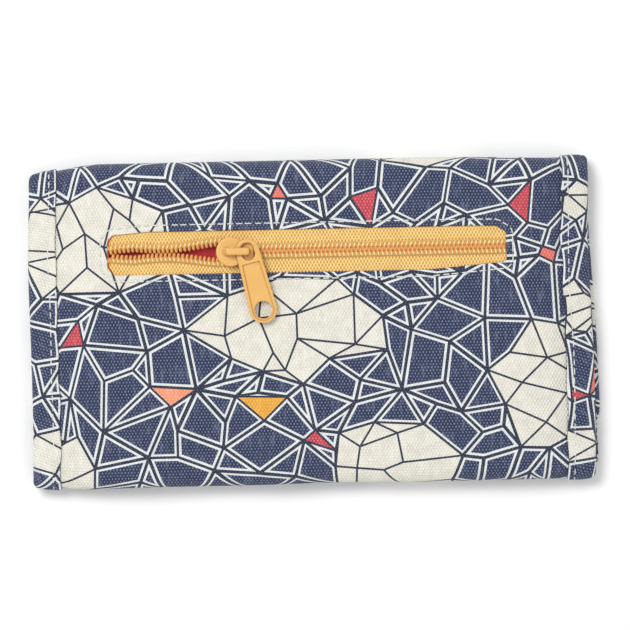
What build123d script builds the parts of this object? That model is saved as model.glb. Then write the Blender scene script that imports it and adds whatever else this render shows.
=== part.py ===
from build123d import *

import math
import os

# A folded canvas wallet with a zip pocket on its back, in millimetres.
#
# It lies on a table with the zip uppermost. +X is along the zip, +Y is towards the
# fold where the flap leaves the back, and +Z is up. The origin is the middle of the
# wallet's underside.
#
# One strip of canvas makes the flap, the fold, the back, the bottom turn and the
# front. The body is a flat bag between back and front, bound at both sides and open
# at y = MOUTH_Y under the fold. The flap covers the front and closes with a snap.

# Driving sizes
WIDTH = 195.0  # over the bindings
HEIGHT = 114.6  # over the fold and the bottom turn
BODY_HOLLOW = 4.3  # depth of the main compartment
CANVAS = 0.7
LINING = 0.35
INTERLINING = 0.6
BINDING = 0.7  # each leg of the folded bias strip
BINDING_COVER = 9.7  # how far a binding reaches over a panel
AIR = 0.3  # between the flap and the body

# Heights of the layers, from the table up
FLAP_OUT = BINDING  # outer face of the flap's canvas
FLAP_IN = FLAP_OUT + CANVAS + INTERLINING + LINING
FLAP_TOP = FLAP_IN + BINDING
FRONT_OUT = FLAP_TOP + AIR + BINDING  # outer face of the front canvas
FRONT_IN = FRONT_OUT + CANVAS + LINING
BACK_LINING = FRONT_IN + BODY_HOLLOW
STIFFENER = BACK_LINING + LINING
BAG = STIFFENER + INTERLINING
BAG_DEPTH = 2.4
TAPE = BAG + BAG_DEPTH
TAPE_THICK = 0.55
BACK_IN = TAPE + TAPE_THICK
BACK_OUT = BACK_IN + CANVAS
BODY_TOP = BACK_OUT + BINDING

# The rolled fold between back and flap, and the bottom turn, in the YZ plane
EDGE_Y = HEIGHT / 2 - BINDING  # canvas at the fold and at the bottom
FOLD_R = (BACK_OUT - FLAP_OUT) / 2
FOLD_Y = EDGE_Y - FOLD_R
FOLD_Z = (BACK_OUT + FLAP_OUT) / 2
TURN_R = (BACK_OUT - FRONT_OUT) / 2
TURN_Y = -EDGE_Y + TURN_R
TURN_Z = (BACK_OUT + FRONT_OUT) / 2
SPLIT = 45.0  # where the rolled fold parts from back and flap, in degrees
SPLIT_GAP = 1.2  # half the gap there, in degrees
LAYERS = CANVAS + INTERLINING + LINING  # of the flap and the rolled fold

# Plan sizes
PANEL_X = WIDTH / 2 - BINDING
COVER_X = WIDTH / 2 - BINDING_COVER
MOUTH_Y = 43.0  # top edge of the front
FLAP_END = -41.5  # free edge of the flap's canvas
FLAP_CORNER = 10.0

# The zip
ZIP_Y = 24.8
WINDOW = (-69.9, 67.0)
WINDOW_HIGH = 15.0
WINDOW_TAPER = 5.0
LIP = 0.3
TAPE_WIDE = 15.0
TAPE_PAST = 8.0  # how far the tapes run on under the canvas
SLIT = 0.5  # half the gap between the two rows of coil
COIL_WIDE = 2.4
COIL_HIGH = 1.7
COIL_PITCH = 1.5
COIL_NOTCH = 0.7

# The slider, with its nose towards -X
NOSE_X = -32.3
NOSE_R = 5.1
SLIDER_LONG = 13.0
TAIL_WIDE = 7.8
PLATE = 1.05
SLIDE_GAP = 0.15
LEG_X = -21.35  # the bail's rear leg, which the pull hangs on
LEG_THICK = 1.3
BAIL_WIDE = 2.6
BAIL_OPEN = 2.4

# The pull, drawn along +X from the bail's rear leg and then turned
PULL_LENGTH = 20.8  # from the eye to the hole at the far end
PULL_THICK = 1.4
PULL_TURN = -76.0
PULL_TILT = 2.5
PULL_LIFT = 0.45  # over the slider at the eye

# The snap
SNAP_Y = -25.8
SNAP_R = 6.25
SNAP_SHANK = 1.2

# Card slots and stitches
CARD_X = (1.0, COVER_X - 0.2)
CARD_LOW = -19.5
CARD_TOPS = {"upper": 36.0, "lower": 20.0}
THREAD = 0.45
THREAD_HIGH = 0.2
STITCH_OUT = 2.2  # from the window's edge

SIDES = (("left", -1), ("right", 1))
FOLD_CENTRE = (FOLD_Y, FOLD_Z)
TURN_CENTRE = (TURN_Y, TURN_Z)


def save(piece, name):
    """Labels a finished piece and writes it."""
    piece.part.label = name
    export_step(piece.part, f"parts/{name}.step")


def slab(low, high, z, thick):
    """A flat box between two (x, y) corners, standing on z."""
    centre = ((low[0] + high[0]) / 2, (low[1] + high[1]) / 2, z)
    with Locations(centre):
        Box(high[0] - low[0], high[1] - low[1], thick,
            align=(Align.CENTER, Align.CENTER, Align.MIN))


def layer(path, thick, left, right, inwards=Side.LEFT):
    """A sheet of cloth from x = left to right: a path in YZ, thickened inwards."""
    with BuildSketch(Plane.YZ.offset(left)) as strip:
        with BuildLine():
            path()
            offset(amount=thick, side=inwards)
        make_face()
    extrude(strip.sketch, amount=right - left)


def fold_arc(depth, start, sweep):
    CenterArc(FOLD_CENTRE, FOLD_R - depth, start, sweep)


def back_arc(depth):
    """The quarter of the rolled fold that belongs to the back."""
    fold_arc(depth, SPLIT + SPLIT_GAP, 90 - SPLIT - SPLIT_GAP)


def body_path():
    """Canvas from the fold, down the back, round the bottom and up the front."""
    back_arc(0)
    Line((FOLD_Y, BACK_OUT), (TURN_Y, BACK_OUT))
    CenterArc(TURN_CENTRE, TURN_R, 90, 180)
    Line((TURN_Y, FRONT_OUT), (MOUTH_Y, FRONT_OUT))


def lining_path():
    """The main compartment's lining, a bag inside the canvas."""
    radius = (STIFFENER - FRONT_OUT - CANVAS) / 2
    turn = (TURN_Y, FRONT_OUT + CANVAS + radius)
    seam = (FOLD_Y - 4.5, BACK_OUT - LAYERS - BINDING - 0.1)
    Polyline(seam, (FOLD_Y - 5.4, STIFFENER), (turn[0], STIFFENER))
    CenterArc(turn, radius, 90, 180)
    Line((turn[0], FRONT_OUT + CANVAS), (MOUTH_Y, FRONT_OUT + CANVAS))


def facing_path():
    """Lining on the inside of the fold, where it joins the back."""
    depth = CANVAS + INTERLINING
    back_arc(depth)
    Line((FOLD_Y, BACK_OUT - depth), (FOLD_Y - 5, BACK_OUT - depth))


def spine_path(depth):
    fold_arc(depth, -SPLIT + SPLIT_GAP, 2 * (SPLIT - SPLIT_GAP))


def flap_path(depth, end):
    """The flap, from its free edge to the fold."""
    Line((end, FLAP_OUT + depth), (FOLD_Y, FLAP_OUT + depth))
    fold_arc(depth, 270, 90 - SPLIT - SPLIT_GAP)


def window_outline(inset=0.0):
    """The zip's window, narrowed at its right end, for use inside a sketch."""
    left, right = WINDOW[0] + inset, WINDOW[1] - inset
    half = WINDOW_HIGH / 2 - inset
    end = half - WINDOW_TAPER / 2
    Polygon(
        (left, ZIP_Y + half), (left, ZIP_Y - half),
        (right - 4 * WINDOW_TAPER, ZIP_Y - half), (right, ZIP_Y - end),
        (right, ZIP_Y + end), (right - 2 * WINDOW_TAPER, ZIP_Y + half), align=None,
    )


def cut_window(z, depth):
    with BuildSketch(Plane.XY.offset(z)) as window:
        window_outline()
    extrude(window.sketch, amount=depth, mode=Mode.SUBTRACT)


def cut_hole(x, y, z, radius, depth):
    with Locations((x, y, z)):
        Cylinder(radius, depth, align=(Align.CENTER, Align.CENTER, Align.MIN),
                 mode=Mode.SUBTRACT)


# ---------------------------------------------------------------- the body

def outer_canvas():
    with BuildPart() as canvas:
        layer(body_path, CANVAS, -PANEL_X, PANEL_X)
        cut_window(BACK_IN - 0.1, CANVAS + 0.2)
        cut_hole(0, SNAP_Y, FRONT_OUT - 0.1, SNAP_SHANK + 0.1, CANVAS + 0.2)
    save(canvas, "outer_canvas")


def linings():
    with BuildPart() as lining:
        layer(lining_path, LINING, 0.5 - PANEL_X, PANEL_X - 0.5, Side.RIGHT)
        cut_hole(0, SNAP_Y, FRONT_OUT + CANVAS - 0.1, SNAP_R - 1.6, LINING + 0.2)
    save(lining, "body_lining")

    with BuildPart() as facing:
        layer(facing_path, LINING, -PANEL_X, PANEL_X)
    save(facing, "fold_facing")

    with BuildPart() as stiffener:
        slab((-86, -50), (86, 44), STIFFENER, INTERLINING)
    save(stiffener, "back_interlining")


def zip_pocket():
    skin = 0.3
    low, high = (-80, -36), (78, 44)
    with BuildPart() as bag:
        slab(low, high, BAG, BAG_DEPTH)
        with Locations(((low[0] + high[0]) / 2, (low[1] + high[1]) / 2, BAG + BAG_DEPTH / 2)):
            Box(high[0] - low[0] - 2 * skin, high[1] - low[1] - 2 * skin,
                BAG_DEPTH - 2 * skin, mode=Mode.SUBTRACT)
        cut_window(BAG + BAG_DEPTH / 2, BAG_DEPTH)
    save(bag, "zip_pocket_bag")

    with BuildPart() as lip:
        with BuildSketch(Plane.XY.offset(BACK_IN)):
            window_outline()
        extrude(amount=CANVAS - 0.05)
        with BuildSketch(Plane.XY.offset(BACK_IN)):
            window_outline(LIP)
        extrude(amount=CANVAS, mode=Mode.SUBTRACT)
    save(lip, "window_facing")


def body_side(grow):
    """The body's side in the YZ plane, larger than its cloth by grow, inside a sketch."""
    radius = TURN_R + grow
    inner = LAYERS + grow
    angle = math.radians(SPLIT + SPLIT_GAP)
    ray = (math.cos(angle), math.sin(angle))
    ends = [(FOLD_Y + r * ray[0], FOLD_Z + r * ray[1]) for r in (FOLD_R - inner, FOLD_R + grow)]
    with BuildLine() as side:
        Polyline((TURN_Y, TURN_Z - radius), (MOUTH_Y, TURN_Z - radius),
                 (MOUTH_Y, BACK_OUT - inner), (FOLD_Y, BACK_OUT - inner))
        fold_arc(inner, SPLIT + SPLIT_GAP, 90 - SPLIT - SPLIT_GAP)
        Line(*ends)
        back_arc(-grow)
        Line((FOLD_Y, BACK_OUT + grow), (TURN_Y, BACK_OUT + grow))
        CenterArc(TURN_CENTRE, radius, 90, 180)
    make_face(side.edges())


def body_bindings():
    for side, sign in SIDES:
        with BuildPart() as binding:
            with BuildSketch(Plane.YZ.offset(sign * COVER_X)):
                body_side(BINDING)
            extrude(amount=sign * (WIDTH / 2 - COVER_X))
            with BuildSketch(Plane.YZ.offset(sign * COVER_X)):
                body_side(0)
            extrude(amount=sign * (PANEL_X - COVER_X), mode=Mode.SUBTRACT)
        save(binding, f"body_binding_{side}")


def stitching():
    """The lines of thread, each a thin raised band on the cloth it is sewn through."""
    with BuildPart() as window_thread:
        with BuildSketch(Plane.XY.offset(BACK_OUT)):
            window_outline(-STITCH_OUT - THREAD)
            with BuildSketch(mode=Mode.SUBTRACT):
                window_outline(-STITCH_OUT)
        extrude(amount=THREAD_HIGH)
    save(window_thread, "window_topstitch")

    for side, x in (("left", -COVER_X - 4.2), ("right", COVER_X + 2.4)):
        with BuildPart() as thread:
            slab((x - THREAD / 2, TURN_Y), (x + THREAD / 2, FOLD_Y), BODY_TOP, THREAD_HIGH)
        save(thread, f"binding_stitches_{side}")


def card_slots():
    """Two tiers of card slots on the front, under the flap, left and right."""
    for tier, (name, top) in enumerate(CARD_TOPS.items()):
        for side, sign in SIDES:
            ends = sorted(sign * x for x in CARD_X)
            with BuildPart() as slot:
                slab((ends[0], CARD_LOW), (ends[1], top),
                     FRONT_OUT - (tier + 1) * LINING, LINING)
            save(slot, f"card_slot_{name}_{side}")


# ---------------------------------------------------------------- the zip

def zip_tapes():
    for side, sign in (("upper", 1), ("lower", -1)):
        with BuildPart() as tape:
            edges = sorted((ZIP_Y + sign * SLIT, ZIP_Y + sign * TAPE_WIDE))
            slab((WINDOW[0] - TAPE_PAST, edges[0]), (WINDOW[1] + TAPE_PAST, edges[1]),
                 TAPE, TAPE_THICK)
        save(tape, f"zip_tape_{side}")


def zip_coils():
    """Each row of coil: a sewn edge with one tooth for every turn of the coil."""
    long = WINDOW[1] - WINDOW[0] - 2 * LIP - 0.4
    teeth = int(long / COIL_PITCH)
    middle = sum(WINDOW) / 2
    for side, sign in (("upper", 1), ("lower", -1)):
        with BuildPart() as coil:
            with Locations((middle, ZIP_Y + sign * (SLIT + COIL_WIDE / 2), BACK_IN)):
                Box(long, COIL_WIDE, COIL_HIGH, align=(Align.CENTER, Align.CENTER, Align.MIN))
            with Locations((middle, ZIP_Y + sign * (SLIT + COIL_WIDE / 4), BACK_IN)):
                with GridLocations(COIL_PITCH, 1, teeth, 1):
                    Box(COIL_NOTCH, COIL_WIDE / 2, COIL_HIGH, mode=Mode.SUBTRACT,
                        align=(Align.CENTER, Align.CENTER, Align.MIN))
            outer = coil.edges().filter_by(Axis.X).group_by(Axis.Z)[-1]
            fillet(outer.sort_by(Axis.Y)[-1 if sign > 0 else 0], radius=0.6)
        save(coil, f"zip_coil_{side}")


def slider_outline(shrink=0.0):
    """The slider from above: a round nose and a narrower tail."""
    with Locations((NOSE_X + NOSE_R, ZIP_Y)):
        Circle(NOSE_R - shrink)
    tail = SLIDER_LONG - NOSE_R
    with Locations((NOSE_X + NOSE_R + tail / 2, ZIP_Y)):
        RectangleRounded(tail, TAIL_WIDE - 2 * shrink, 1.2)
    with Locations((NOSE_X + NOSE_R + 1.5, ZIP_Y)):
        Rectangle(3.0, TAIL_WIDE - 2 * shrink)


def slider():
    low_top = TAPE - SLIDE_GAP  # upper face of the lower plate
    high = BACK_IN + COIL_HIGH + SLIDE_GAP  # lower face of the upper plate
    rim_in = SLIT + COIL_WIDE + 0.3
    rim_low = BACK_IN + SLIDE_GAP
    top = high + PLATE
    bail_top = top + BAIL_OPEN + LEG_THICK
    with BuildPart() as body:
        with BuildSketch(Plane.XY.offset(low_top - PLATE)):
            slider_outline(0.2)
        extrude(amount=PLATE)
        with BuildSketch(Plane.XY.offset(rim_low)):
            slider_outline()
            with Locations((NOSE_X + SLIDER_LONG / 2, ZIP_Y)):
                Rectangle(SLIDER_LONG + 2, 2 * rim_in, mode=Mode.SUBTRACT)
        extrude(amount=high - rim_low)
        with BuildSketch(Plane.XY.offset(high)):
            slider_outline()
        extrude(amount=PLATE)
        rim = body.faces().sort_by(Axis.Z)[-1].edges()
        fillet(rim, radius=0.5)
        with Locations((NOSE_X + 2.6, ZIP_Y, low_top)):
            Box(3.2, 2 * (SLIT - 0.2), high - low_top,
                align=(Align.CENTER, Align.CENTER, Align.MIN))
        with BuildSketch(Plane.XZ.offset(-ZIP_Y - BAIL_WIDE / 2)):
            left = NOSE_X + 2.2
            right = LEG_X + LEG_THICK / 2
            with BuildLine():
                Polyline((left, top - 0.2), (left + 1.6, bail_top), (right, bail_top),
                         (right, top - 0.2), (right - LEG_THICK, top - 0.2),
                         (right - LEG_THICK, top + BAIL_OPEN),
                         (left + 2.7, top + BAIL_OPEN), (left + 2.0, top - 0.2),
                         close=True)
            make_face()
        extrude(amount=BAIL_WIDE)
        crown = body.edges().filter_by(Axis.Y).group_by(Axis.Z)[-1]
        fillet(crown, radius=0.9)
        bar = body.faces().sort_by(Axis.Z)[-1].edges().filter_by(Axis.X)
        fillet(bar, radius=0.8)
    save(body, "slider")
    return top


def puller(slider_top):
    """The pull: a plate with an eye for the bail, a sunk face and a hole at its end."""
    eye_r, end_r = 4.05, 4.8
    eye = (6.3, 4.6)
    end_hole = 3.05
    rim = 1.0
    sunk = 0.45
    with BuildPart() as pull:
        with BuildSketch():
            with BuildLine() as rings:
                CenterArc((-0.25, 0), eye_r, 0, 360)
                CenterArc((PULL_LENGTH - 0.2, 0), end_r, 0, 360)
            make_hull(rings.edges())
            SlotOverall(*eye, mode=Mode.SUBTRACT)
            with Locations((PULL_LENGTH, 0)):
                Circle(end_hole, mode=Mode.SUBTRACT)
        extrude(amount=PULL_THICK)
        fillet(pull.faces().sort_by(Axis.Z)[-1].outer_wire().edges(), radius=0.35)
        neck = eye[0] / 2 + rim
        with BuildSketch(Plane.XY.offset(PULL_THICK - sunk)):
            with BuildLine() as face:
                Line((neck, rim - eye_r), (neck, eye_r - rim))
                CenterArc((PULL_LENGTH, 0), end_r - rim, 0, 360)
            make_hull(face.edges())
        extrude(amount=sunk, mode=Mode.SUBTRACT)
    hung = Location((LEG_X, ZIP_Y, slider_top + PULL_LIFT), (0, 0, PULL_TURN))
    pull.part.locate(hung * Location((0, 0, 0), (0, PULL_TILT, 0)))
    save(pull, "puller")


# ---------------------------------------------------------------- the fold and the flap

def spine():
    with BuildPart() as canvas:
        layer(lambda: spine_path(0), CANVAS, -PANEL_X, PANEL_X)
    save(canvas, "fold_canvas")

    with BuildPart() as lining:
        layer(lambda: spine_path(CANVAS + INTERLINING), LINING, -PANEL_X, PANEL_X)
    save(lining, "fold_lining")

    with BuildPart() as cloth:
        layer(lambda: spine_path(0), LAYERS, -PANEL_X, PANEL_X)
    for side, sign in SIDES:
        ends = sorted((sign * COVER_X, sign * WIDTH / 2))
        with BuildPart() as binding:
            layer(lambda: spine_path(-BINDING), LAYERS + 2 * BINDING, *ends)
            add(cloth.part, mode=Mode.SUBTRACT)
        save(binding, f"fold_binding_{side}")


def flap_sheet(depth, thick, grow=0.0):
    """One thickness of the flap with its free corners rounded, larger by grow."""
    with BuildPart() as sheet:
        layer(lambda: flap_path(depth, FLAP_END - grow), thick, -PANEL_X - grow, PANEL_X + grow)
        corners = sheet.edges().filter_by(Axis.Z).group_by(Axis.Y)[0]
        fillet(corners, radius=FLAP_CORNER + grow)
    return sheet.part


def flap():
    canvas_sheet = flap_sheet(0, CANVAS)
    with BuildPart() as canvas:
        add(canvas_sheet)
        cut_hole(0, SNAP_Y, FLAP_OUT - 0.1, SNAP_SHANK + 0.1, CANVAS + 0.2)
    save(canvas, "flap_canvas")

    with BuildPart() as stiffener:
        with BuildSketch(Plane.XY.offset(FLAP_OUT + CANVAS)):
            with Locations((0, (FLAP_END + FOLD_Y) / 2)):
                RectangleRounded(2 * PANEL_X - 2, FOLD_Y - FLAP_END - 2, FLAP_CORNER - 1)
        extrude(amount=INTERLINING)
        cut_hole(0, SNAP_Y, FLAP_OUT + CANVAS - 0.1, SNAP_SHANK + 0.1, INTERLINING + 0.2)
    save(stiffener, "flap_interlining")

    lining_sheet = flap_sheet(CANVAS + INTERLINING, LINING)
    with BuildPart() as lining:
        add(lining_sheet)
        cut_hole(0, SNAP_Y, FLAP_IN - LINING - 0.1, SNAP_SHANK + 0.1, LINING + 0.2)
    save(lining, "flap_lining")

    cloth = flap_sheet(0, LAYERS)
    wrap = flap_sheet(-BINDING, LAYERS + 2 * BINDING, BINDING)
    inner_end = FLAP_END - BINDING + BINDING_COVER
    with BuildPart() as binding:
        add(wrap)
        add(cloth, mode=Mode.SUBTRACT)
        with BuildSketch(Plane.XY.offset(-1)):
            with Locations((0, inner_end + HEIGHT / 2)):
                RectangleRounded(2 * COVER_X, HEIGHT, 2.5)
        extrude(amount=BODY_TOP, mode=Mode.SUBTRACT)
    save(binding, "flap_binding")


# ---------------------------------------------------------------- the snap

def snap():
    head_r = 2.0
    cup_r = 2.3
    floor = 0.25
    stud_flange = 0.25
    socket_top = FRONT_OUT - 0.5
    centre = (0, SNAP_Y)
    base = (Align.CENTER, Align.CENTER, Align.MIN)

    with BuildPart() as cap:
        with Locations((*centre, 0)):
            Cylinder(SNAP_R, FLAP_OUT, align=base)
        fillet(cap.edges().group_by(Axis.Z)[0], radius=0.45)
        with Locations((*centre, FLAP_OUT)):
            Cylinder(SNAP_SHANK, FLAP_IN - FLAP_OUT, align=base)
    save(cap, "snap_cap")

    with BuildPart() as socket:
        with Locations((*centre, FLAP_IN)):
            Cylinder(SNAP_R - 1.4, socket_top - FLAP_IN, align=base)
        fillet(socket.edges().group_by(Axis.Z)[-1], radius=0.4)
        cut_hole(*centre, FLAP_IN + floor, cup_r, socket_top - FLAP_IN)
    save(socket, "snap_socket")

    with BuildPart() as stud:
        with Locations((*centre, FRONT_OUT - stud_flange)):
            Cylinder(SNAP_R - 1.5, stud_flange, align=base)
        head_low = FLAP_IN + floor + 0.15
        with Locations((*centre, head_low)):
            Cylinder(head_r, FRONT_OUT - stud_flange - head_low, align=base)
        fillet(stud.edges().group_by(Axis.Z)[0], radius=0.4)
        cut_hole(*centre, head_low + 0.4, SNAP_SHANK + 0.05, FRONT_OUT - head_low)
    save(stud, "snap_stud")

    with BuildPart() as post:
        with Locations((*centre, FRONT_OUT + CANVAS)):
            Cylinder(SNAP_R - 1.75, LINING, align=base)
        with Locations((*centre, head_low + 0.5)):
            Cylinder(SNAP_SHANK, FRONT_OUT + CANVAS - head_low - 0.5, align=base)
    save(post, "snap_post")


def main():
    os.makedirs("parts", exist_ok=True)
    outer_canvas()
    linings()
    zip_pocket()
    body_bindings()
    stitching()
    card_slots()
    zip_tapes()
    zip_coils()
    puller(slider())
    spine()
    flap()
    snap()


main()
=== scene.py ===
import math
import random

import bpy
import bmesh
import numpy as np
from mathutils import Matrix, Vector
from mathutils.geometry import delaunay_2d_cdt


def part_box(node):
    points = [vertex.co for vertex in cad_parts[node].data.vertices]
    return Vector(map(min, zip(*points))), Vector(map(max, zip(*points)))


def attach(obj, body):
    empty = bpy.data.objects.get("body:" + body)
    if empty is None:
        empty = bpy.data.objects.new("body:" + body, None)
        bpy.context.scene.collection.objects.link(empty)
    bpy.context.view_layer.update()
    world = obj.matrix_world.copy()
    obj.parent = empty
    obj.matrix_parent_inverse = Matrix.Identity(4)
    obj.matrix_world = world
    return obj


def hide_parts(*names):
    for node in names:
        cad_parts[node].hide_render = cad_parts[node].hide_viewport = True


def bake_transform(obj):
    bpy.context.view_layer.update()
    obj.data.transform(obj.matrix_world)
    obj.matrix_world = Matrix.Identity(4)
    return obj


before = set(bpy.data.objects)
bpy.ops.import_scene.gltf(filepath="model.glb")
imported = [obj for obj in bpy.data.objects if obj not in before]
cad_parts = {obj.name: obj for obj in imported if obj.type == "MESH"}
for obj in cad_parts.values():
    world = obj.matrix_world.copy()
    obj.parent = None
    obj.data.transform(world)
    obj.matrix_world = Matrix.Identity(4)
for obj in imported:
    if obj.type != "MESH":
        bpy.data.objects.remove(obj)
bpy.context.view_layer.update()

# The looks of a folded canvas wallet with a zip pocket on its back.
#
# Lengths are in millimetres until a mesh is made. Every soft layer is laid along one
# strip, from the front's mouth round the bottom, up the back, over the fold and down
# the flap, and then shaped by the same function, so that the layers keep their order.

MM = 0.001


def mm_box(node):
    low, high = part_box(node)
    return np.array(low) / MM, np.array(high) / MM


# ------------------------------------------------------------ sizes from the frame

BACK_LOW, BACK_HIGH = mm_box("outer_canvas")
FLAP_LOW = mm_box("flap_canvas")[0]
FOLD_HIGH = mm_box("fold_canvas")[1]
BIND_LOW, BIND_HIGH = mm_box("body_binding_right")
SLIDER_LOW, SLIDER_HIGH = mm_box("slider")
COIL_LOW, COIL_HIGH = mm_box("zip_coil_upper")
TAPE_LOW, TAPE_HIGH = mm_box("zip_tape_upper")
LIP_LOW, LIP_HIGH = mm_box("window_facing")
BAG_LOW, BAG_HIGH = mm_box("zip_pocket_bag")
FLEECE_LOW, FLEECE_HIGH = mm_box("back_interlining")
LINING_LOW = mm_box("body_lining")[0]

PANEL_X = BACK_HIGH[0]
HALF = BIND_HIGH[0]
COVER_X = BIND_LOW[0]
BACK_Z, FRONT_Z, FLAP_Z = BACK_HIGH[2], BACK_LOW[2], FLAP_LOW[2]
FOLD_R = (BACK_Z - FLAP_Z) / 2
FOLD_C = (FOLD_HIGH[1] - FOLD_R, (BACK_Z + FLAP_Z) / 2)
TURN_R = (BACK_Z - FRONT_Z) / 2
TURN_C = (BACK_LOW[1] + TURN_R, (BACK_Z + FRONT_Z) / 2)
MOUTH_Y = 43.0
FLAP_CORNER = 10.0
CANVAS, FLEECE, LINING, BINDING = 0.7, 0.6, 0.35, 0.7
LAYERS = CANVAS + FLEECE + LINING
ZIP_Y = (SLIDER_LOW[1] + SLIDER_HIGH[1]) / 2


class Route:
    """A plane path of lines and arcs, measured along its length."""

    def __init__(self, start):
        self.end = np.array(start, float)
        self.runs = []
        self.length = 0.0

    def line(self, x, y):
        step = np.array((x, y)) - self.end
        long = float(np.hypot(*step))
        self.runs.append((self.length, long, "line", self.end, step / long, 0.0))
        self.length += long
        self.end = np.array((x, y), float)
        return self

    def arc(self, centre, start, sweep):
        """An arc about centre, from the angle start, through sweep degrees, clockwise if negative."""
        centre = np.array(centre, float)
        radius = float(np.hypot(*(self.end - centre)))
        long = radius * math.radians(abs(sweep))
        turn = math.copysign(1 / radius, sweep)
        self.runs.append((self.length, long, "arc", centre, (radius, math.radians(start)), turn))
        self.length += long
        last = math.radians(start + sweep)
        self.end = centre + radius * np.array((math.cos(last), math.sin(last)))
        return self

    def at(self, s):
        """Points at the lengths s, and the direction to the left of travel there."""
        s = np.atleast_1d(np.asarray(s, float))
        point, left = np.zeros((len(s), 2)), np.zeros((len(s), 2))
        last = len(self.runs) - 1
        for i, (begin, long, kind, a, b, turn) in enumerate(self.runs):
            here = (s >= begin) | (i == 0)
            if i < last:
                here &= s < begin + long
            q = s[here] - begin
            if kind == "line":
                point[here] = a + q[:, None] * b
                left[here] = (-b[1], b[0])
            else:
                radius, start = b
                angle = start + q * turn
                out = np.stack([np.cos(angle), np.sin(angle)], 1)
                point[here] = a + radius * out
                left[here] = out if turn < 0 else -out
        return point, left

    def marks(self):
        return [begin for begin, *_ in self.runs] + [self.length]


STRIP = (
    Route((MOUTH_Y, FRONT_Z))
    .line(TURN_C[0], FRONT_Z)
    .arc(TURN_C, 270, -180)
    .line(FOLD_C[0], BACK_Z)
    .arc(FOLD_C, 90, -180)
    .line(FLAP_LOW[1], FLAP_Z)
)
T_FRONT, T_TURN, T_BACK, T_FOLD, T_FLAP, T_END = STRIP.marks()
T_MID = (T_FOLD + T_FLAP) / 2


def back_t(y):
    """Where a height y on the back is along the strip."""
    return T_BACK + y - TURN_C[0]


T_BAND = back_t(MOUTH_Y)

# ------------------------------------------------------------ the soft shape


def smooth(v, low, high):
    q = np.clip((v - low) / (high - low), 0, 1)
    return q * q * (3 - 2 * q)


def waves(x, y, long, seed, count=7):
    """Gentle seeded ripples about long millimetres from crest to crest."""
    rng = np.random.default_rng(seed)
    total = np.zeros_like(x)
    for _ in range(count):
        angle, phase = rng.uniform(0, 2 * math.pi, 2)
        size = long * rng.uniform(0.7, 1.4)
        total += np.sin((x * math.cos(angle) + y * math.sin(angle)) * 2 * math.pi / size + phase)
    return total / math.sqrt(count)


PINCH_FROM = 73.0  # the body thins from here to its bound sides
HOLLOWS = (  # the body's two hollows in height, and how much of each the pinch takes
    (LINING_LOW[2] + LINING, FLEECE_LOW[2] - LINING, 4.0),
    (BAG_LOW[2] + 0.3, BAG_HIGH[2] - 0.3, 1.6),
)


def soften(p):
    """The wallet's worn shape: thin bound sides, a low bottom, easy corners and ripples."""
    x, y, z = (p[:, i].copy() for i in range(3))
    flat = z < FRONT_Z - BINDING - 0.1
    side = smooth(np.abs(x), PINCH_FROM, HALF + 2)
    low = 0.42 * smooth(-y, 20, HALF / 2 + 10)
    pinch = 1 - (1 - side) * (1 - low)
    drop = sum(most * smooth(z, a, b) for a, b, most in HOLLOWS)
    lift = smooth(z, FRONT_Z, BAG_LOW[2])
    window = np.maximum(np.abs(x + 1.5) - 72, np.abs(y - ZIP_Y) - 9)
    free = smooth(window, 0, 12)
    ripple = 0.28 * waves(x, y, 34, 3) + 0.1 * waves(x, y, 13, 4)
    pucker = 0.22 * waves(x * 0.25, y, 9, 5) * smooth(np.abs(x), COVER_X - 13, COVER_X - 1)
    z -= pinch * drop
    z += lift * (free * ripple + pucker)
    upper = smooth(y, 18, FOLD_HIGH[1])
    lower = smooth(-y, 18, FOLD_HIGH[1])
    left = np.clip((-x - 72) / (HALF - 72), 0, 1)
    right = np.clip((x - 80) / (HALF - 80), 0, 1)
    y -= upper * (0.3 + 4.3 * left ** 1.5 + 1.1 * smooth(x, 40, HALF))
    y += lower * (0.5 + 1.6 * left ** 2 + 0.9 * right ** 2) + lower * 0.25 * waves(x, x * 0, 60, 6)
    x += np.where(flat, 0, 0.35 * waves(y, x * 0, 55, 7) * smooth(np.abs(x), 60, HALF))
    x -= 1.1 * smooth(y, -12, 42) * np.clip(x / HALF, 0, 1) ** 3
    skew = np.clip((FOLD_C[0] + 4 - y) / 90, 0, 1.2)
    x += np.where(z < FRONT_Z - BINDING - 0.1, 2.5 * skew, 0)
    return np.stack([x, y, np.maximum(z, 0.0)], 1)


def lay(x, t, out):
    """Points on the strip: x across, t along it, and out from the canvas's outer face."""
    x, t, out = np.broadcast_arrays(*(np.atleast_1d(np.asarray(v, float)) for v in (x, t, out)))
    point, normal = STRIP.at(t)
    yz = point + normal * out[:, None]
    return soften(np.column_stack([x, yz]))


# ------------------------------------------------------------ making meshes


def new_piece(name, verts, faces, materials, face_material=None, uv=None):
    """A mesh piece from points in mm. uv holds each point's place on the cloth, in mm."""
    mesh = bpy.data.meshes.new(name)
    mesh.from_pydata((np.asarray(verts) * MM).tolist(), [], [list(map(int, f)) for f in faces])
    for m in materials:
        mesh.materials.append(m)
    if face_material is not None:
        mesh.polygons.foreach_set("material_index", np.asarray(face_material, np.int32))
    mesh.polygons.foreach_set("use_smooth", np.full(len(mesh.polygons), True))
    if uv is not None:
        layer = mesh.uv_layers.new(name="cloth")
        loops = np.zeros(len(mesh.loops), np.int32)
        mesh.loops.foreach_get("vertex_index", loops)
        layer.data.foreach_set("uv", np.asarray(uv, np.float32)[loops].ravel())
    mesh.update()
    piece = bpy.data.objects.new(name, mesh)
    bpy.context.scene.collection.objects.link(piece)
    return piece


WELD_GAP = 0.002
NO_LENGTH = 1e-7  # in metres, an edge that counts as none


def rework(piece, *steps):
    """Runs steps on a piece's mesh, each a function of its bmesh."""
    mesh = bmesh.new()
    mesh.from_mesh(piece.data)
    for step in steps:
        step(mesh)
    mesh.to_mesh(piece.data)
    mesh.free()


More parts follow.
